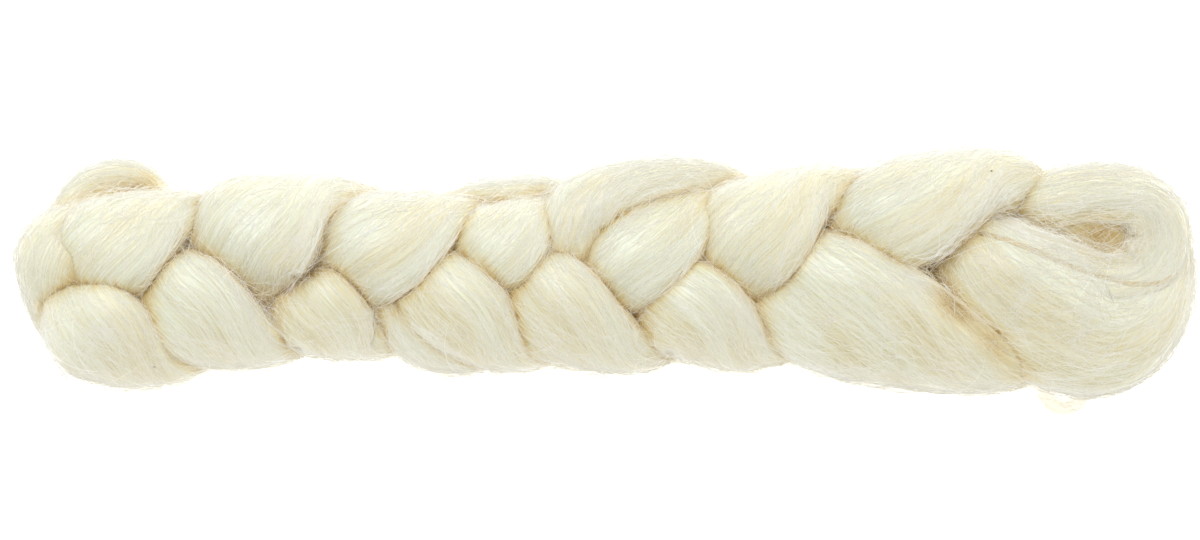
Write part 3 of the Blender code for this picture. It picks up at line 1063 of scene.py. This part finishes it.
# %% Fibres in the creases
chance = np.random.default_rng(22)
starts = surface_starts(chance, 42000, least_painted_shade=0.5)
add_strays("crease_fibres", chance, starts, (0.07, 0.14), {"more_painted_shade": (-0.4, 0.2)},
           lengths=(4, 15), spread=1.2, height=0.5, hug=0.5, steps=5)

# %% [markdown]
# Others are pulled straight from one lobe to the next, above the bottom of the crease. Both ends of such a
# bridge stand on the wool, which is looked for straight down, and between them it is held up wherever the
# wool is higher.

# %% Fibres over the creases
SKY = 80.0  # mm, a height above everything
LYING = 0.25  # mm that a fibre's middle is above the wool it lies on
STEEPEST_STEP = 2.2  # height against length of a fibre's steps, past which it isn't shown


def height_below(places):
    """The height of the outer surface under each place in mm, and not-a-number past the braid."""
    flat = places[..., :2].reshape(-1, 2)
    found = [outer_tree.ray_cast(Vector((x, y, SKY)), Vector((0, 0, -1)))[0] for x, y in flat]
    heights = [place.z if place is not None else np.nan for place in found]
    return np.array(heights).reshape(places.shape[:-1])


def facing_up(paths):
    return np.broadcast_to((0.0, 0.0, 1.0), paths.shape)


def bridge_paths(chance, starts, lengths, steps):
    """Fibres that span a crease."""
    count = len(starts)
    heading = chance.uniform(0, pi, count)
    forward = np.column_stack([np.cos(heading), np.sin(heading)])[:, None]
    sideways = np.column_stack([-np.sin(heading), np.cos(heading)])[:, None]
    length = chance.uniform(*lengths, count)[:, None, None]
    t = np.linspace(0, 1, steps)[None, :, None]
    bow = chance.normal(0, 0.12, count)[:, None, None] * 4 * t * (1 - t)
    wave = chance.normal(0, 0.03, count)[:, None, None] * np.sin(3 * pi * t)
    flat = starts[:, None, :2] + length * (forward * (t - 0.5) + sideways * (bow + wave))
    ground = height_below(flat)
    t = t[..., 0]
    straight = ground[:, :1] * (1 - t) + ground[:, -1:] * t
    tension = chance.uniform(0.2, 1.0, count)[:, None]
    height = np.maximum(ground, ground + (straight - ground) * tension) + LYING
    height[:, [0, -1]] = ground[:, [0, -1]] - 0.2
    steep = np.abs(np.diff(height, axis=1)).max(axis=1) > length[:, 0, 0] / steps * STEEPEST_STEP
    kept = np.isfinite(height).all(axis=1) & ~steep
    return np.concatenate([flat, height[..., None]], axis=2)[kept]


chance = np.random.default_rng(23)
starts, _, outward = surface_starts(chance, 56000, least_painted_shade=0.5)
paths = bridge_paths(chance, starts[outward[:, 2] > 0], lengths=(3, 12), steps=6)
# These fibres lie above the crease they span, so their painted shade is taken down.
add_fibres("bridging_fibres", chance, paths, facing_up(paths), (0.045, 0.095), more_painted_shade=(-0.9, -0.3))

# %% [markdown]
# Where the end loop lies against the last leg there is hardly a crease, only a parting: a thin line of
# fibres, warmer and darker with painted shade, that runs round with the wool.

# %% A parting in the end loop
PARTING = ((140, 14.5), (152, 11.5), (167, 5.5), (183, -1), (198, -5), (209, -4.5), (216, -1))  # mm


def parting_paths(chance, line, count, spread, steps):
    """Fibres along a line over the wool, each on a part of it."""
    line = np.array(line, dtype=float)
    at = np.concatenate([[0], np.cumsum(np.linalg.norm(np.diff(line, axis=0), axis=1))])
    start = chance.uniform(-0.1, 0.9, count)[:, None] * at[-1]
    along = np.clip(start + chance.uniform(10, 28, count)[:, None] * np.linspace(0, 1, steps), 0, at[-1])
    flat = np.stack([np.interp(along, at, values) for values in line.T], axis=2)
    shift_and_tilt = np.array([np.ones(steps), np.linspace(-1, 1, steps)])
    flat[..., 1] += chance.normal(0, spread, (count, 2)) @ shift_and_tilt
    paths = np.concatenate([flat, height_below(flat)[..., None] + 0.15], axis=2)
    return paths[np.isfinite(paths).all(axis=(1, 2))]


chance = np.random.default_rng(24)
paths = parting_paths(chance, PARTING, count=260, spread=0.4, steps=7)
# The parting's fibres get extra painted shade.
add_fibres("parting_fibres", chance, paths, facing_up(paths), radius=(0.06, 0.12), more_painted_shade=(0.3, 0.7))

# %% [markdown]
# ### Fuzz
#
# Short fibre ends stand up from the wool and curl over. On the outline they show as a thin haze. The sides
# of the braid are rubbed most, so their fuzz is denser.

# %% Fuzz
FUZZ_LEAN = (6, 35)  # degrees that a fibre end stands up from the wool
FUZZ_TURN = 0.7  # spread in radians round the leg's direction
FUZZ_CURL = 0.35  # spread of its sideways bend, against its length


def fuzz_paths(chance, starts, along, outward, lengths, steps):
    count = len(starts)
    turn = chance.normal(0, FUZZ_TURN, count)[:, None]
    way = chance.choice([-1, 1], count)[:, None]
    flat = way * turned(along, outward, turn)
    rise = np.tan(np.radians(chance.uniform(*FUZZ_LEAN, count)))[:, None]
    side = np.cross(outward, flat) * chance.normal(0, FUZZ_CURL, count)[:, None]
    length = chance.uniform(*lengths, count)[:, None]
    t = np.linspace(0, 1, steps)
    points = [starts + length * (flat * s + outward * rise * (s - 0.55 * s * s) + side * s * s) for s in t]
    ways_out = unit(np.cross(flat, side + 0.01 * outward))
    return np.stack(points, axis=1), np.repeat(ways_out[:, None], steps, axis=1)


chance = np.random.default_rng(33)
paths, ways_out = fuzz_paths(chance, *surface_starts(chance, 10000), lengths=(4, 12), steps=5)
add_fibres("fuzz", chance, paths, ways_out, (0.035, 0.07))

# Fibres over the table: less painted shade, and the material with a painted glow.
PAINTED_GLOW_LOOK = {"more_painted_shade": -0.3, "material": glowing_fibre_wool}
chance = np.random.default_rng(34)
starts = surface_starts(chance, 28000, steepest=0.35)
paths, ways_out = fuzz_paths(chance, *starts, lengths=(5, 13), steps=5)
add_fibres("side_fuzz", chance, paths, ways_out, (0.035, 0.07), **PAINTED_GLOW_LOOK)

# %% [markdown]
# Fibres that have come loose at the sides run along them, 1 to 4 mm away. Together they fade the outline
# into the light. A few fibres are much longer than the rest. They wander over the lobes and out past the
# sides.

# %% The halo and the flyaways
starts = surface_starts(chance, 22000, steepest=0.3)
add_strays("halo", chance, starts, (0.03, 0.06), PAINTED_GLOW_LOOK,
           lengths=(12, 30), spread=0.4, height=1.6, hug=0.35, steps=7)

chance = np.random.default_rng(35)
starts = surface_starts(chance, 1600, steepest=0.35)
add_strays("flyaways", chance, starts, (0.04, 0.07), PAINTED_GLOW_LOOK,
           lengths=(30, 70), spread=0.5, height=2.2, hug=0.3, steps=14)
starts = surface_starts(chance, 500)
add_strays("long_strays", chance, starts, (0.05, 0.08), {"more_painted_shade": -0.2},
           lengths=(25, 60), spread=0.8, height=1.0, hug=0.5, steps=12)

# %% [markdown]
# The tail of the third leg comes out under the loop at the right and ends in a wisp, thin enough to see
# through. Its fibres turn back in nested arcs, each one a part of a circle.

# %% The wisp at the tail
WISP_MIDDLE = (175.0, -44.0, 5.0)  # mm
WISP_RADIUS = 11.0
WISP_FIBRES = 200


def arc_paths(chance, middle, radius, count, steps):
    """Nested arcs round a place that lie nearly flat."""
    t = np.linspace(0, 1, steps)[None, :]
    nest = chance.uniform(0.35, 1.0, count)[:, None] ** 0.7
    start = pi + chance.normal(0.1, 0.5, count)[:, None]
    angle = start + chance.uniform(1.4, 3.6, count)[:, None] * t
    shift = chance.normal(0, 0.5, (count, 3))[:, None]
    wave = 0.3 * np.sin(angle * 3 + chance.uniform(0, 2 * pi, count)[:, None])
    x = radius * nest * np.cos(angle) + wave
    y = radius * nest * np.sin(angle) + wave
    z = chance.normal(0, 1.2, count)[:, None] * np.sin(pi * t)
    return np.array(middle) + shift + np.stack([x, y, z], axis=2)


chance = np.random.default_rng(36)
paths = arc_paths(chance, WISP_MIDDLE, WISP_RADIUS, WISP_FIBRES, steps=10)
# The wisp's fibres have the painted glow of fibres over the table.
add_fibres("wisp", chance, paths, facing_up(paths), (0.045, 0.085), more_painted_shade=0.15, material=glowing_fibre_wool)

# %% [markdown]
# ## Bits of dry grass
#
# Combing leaves a few dark specks of the meadow in the wool, about a millimetre long. Each is a ball,
# scaled flat and laid on the wool. Dry grass is dull and brown.

# %% Bits of dry grass
SPECKS = ((-171, -36), (-58, -38), (145, 38))  # mm
SPECK_SIZE = (0.55, 0.35, 0.25)  # mm, half of each side
SPECK_HEIGHT = 0.7  # mm above the wool's skin, among its fibres


def add_specks():
    bm = bmesh.new()
    for x, y in SPECKS:
        z = float(height_below(np.array((x, y, 0.0)))) + SPECK_HEIGHT
        made = bmesh.ops.create_icosphere(bm, subdivisions=1, radius=1.0)["verts"]
        bmesh.ops.scale(bm, vec=[size * MM for size in SPECK_SIZE], verts=made)
        bmesh.ops.translate(bm, vec=Vector((x, y, z)) * MM, verts=made)
    mesh = finished_mesh("dry_grass_specks", bm)
    material, _ = new_material("dry_grass", {"Base Color": linear("6E5E4C"), "Roughness": 0.7})
    mesh.materials.append(material)
    return add_piece("dry_grass_specks", mesh)


print("specks:", len(SPECKS), "triangles:", triangle_count(add_specks()))

# %% Finish
pieces = [piece for piece in bpy.data.objects if piece.type == "MESH" and piece.name != "floor"]
print("triangles in all:", sum(triangle_count(piece) for piece in pieces))
